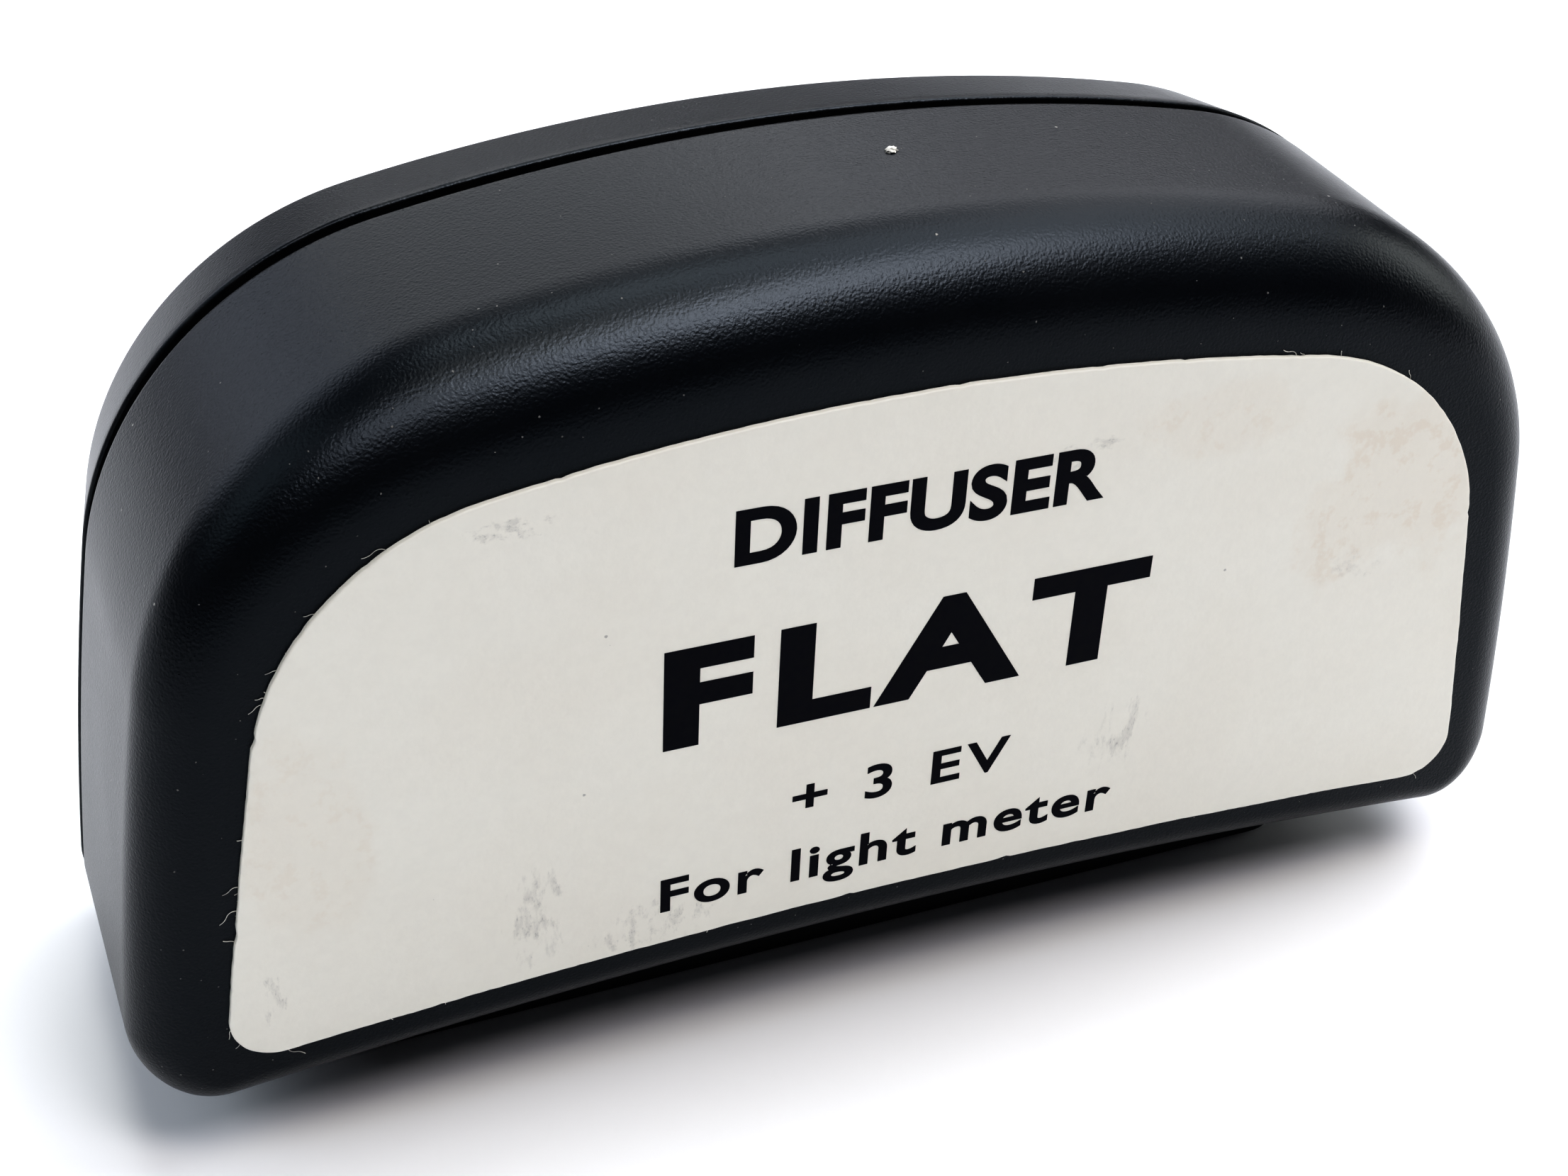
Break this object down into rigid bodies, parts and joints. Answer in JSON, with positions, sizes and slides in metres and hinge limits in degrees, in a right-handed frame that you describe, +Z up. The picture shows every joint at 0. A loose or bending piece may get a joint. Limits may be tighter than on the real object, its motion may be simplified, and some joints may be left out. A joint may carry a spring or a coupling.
{
  "type": "flat diffuser attachment for a light meter",
  "caption": "Arched black plug-on attachment for a light meter: printed label in front, flat opal diffuser window behind, sprung mounting plug below.",
  "frame": {"origin": "on the surface the mounting plug stands on, under the middle of the body", "axes": "+X to the right as the label is read, +Y from the label to the diffuser window, +Z up"},
  "size_m": [0.07, 0.0206, 0.0399],
  "materials": {
    "shell_plastic": "fine spark-eroded satin",
    "plug_plastic": "smooth satin",
    "label_plate": "fine-grained matt print, lightly soiled",
    "opal_acrylic": "translucent opal satin",
    "grey_filter": "neutral grey",
    "clear_acrylic": "clear polished",
    "white_plastic": "matt white",
    "mirror_glass": "silvered",
    "spring_steel": "bright drawn",
    "plunger_steel": "polished",
    "black_screw": "black oxide",
    "black_foam": "matt cellular"
  },
  "bodies": {
    "housing": {"front_shell": "shell_plastic", "rear_cover": "shell_plastic", "mount_plug": "plug_plastic", "front_label": "label_plate", "diffuser_window": "opal_acrylic", "diffuser_retainer": "plug_plastic", "neutral_filter": "grey_filter", "light_box": "white_plastic", "deflecting_mirror": "mirror_glass", "mirror_clip_left": "spring_steel", "mirror_clip_right": "spring_steel", "window_gasket": "black_foam", "tube_gasket": "black_foam", "seam_gasket": "black_foam", "exit_window": "clear_acrylic", "cover_screws": "black_screw", "detent_spring_left": "spring_steel", "detent_spring_right": "spring_steel", "spring_cap_left": "plug_plastic", "spring_cap_right": "plug_plastic"},
    "plunger_left": {"detent_plunger_left": "plunger_steel"},
    "plunger_right": {"detent_plunger_right": "plunger_steel"}
  },
  "joints": [
    {"name": "detent_slide_left", "type": "slide", "parent": "housing", "child": "plunger_left", "axis": [1, 0, 0], "range_m": [0, 0.0008], "stiffness_N_per_m": 150, "springref_m": -0.001, "deforming": ["detent_spring_left"]},
    {"name": "detent_slide_right", "type": "slide", "parent": "housing", "child": "plunger_right", "axis": [-1, 0, 0], "range_m": [0, 0.0008], "stiffness_N_per_m": 150, "springref_m": -0.001, "deforming": ["detent_spring_right"]}
  ]
}
